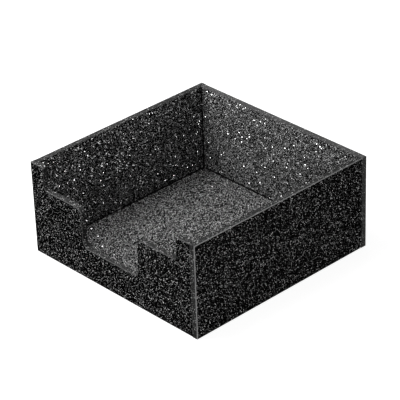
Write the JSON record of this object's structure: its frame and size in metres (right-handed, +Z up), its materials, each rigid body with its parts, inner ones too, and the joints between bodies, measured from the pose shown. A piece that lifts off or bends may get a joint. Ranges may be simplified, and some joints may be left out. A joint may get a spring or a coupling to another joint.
{
  "type": "sticky note dispenser",
  "caption": "Open square desk tray for a pad of sticky notes, made of bonded black glitter acrylic panels, with a stepped notch and a finger slot in the front wall.",
  "frame": {"origin": "centre of the underside, on the surface that the tray stands on", "axes": "+Z up out of the open top, -Y towards the front wall with the finger slot, +X to the right seen from the front"},
  "size_m": [0.089, 0.089, 0.039],
  "materials": {
    "glitter_acrylic": "black cast acrylic sheet with fine silver glitter through it, plain dark polished cut edges"
  },
  "bodies": {
    "root": {"base_panel": "glitter_acrylic", "front_panel": "glitter_acrylic", "right_panel": "glitter_acrylic", "back_panel": "glitter_acrylic", "left_panel": "glitter_acrylic"}
  },
  "joints": []
}
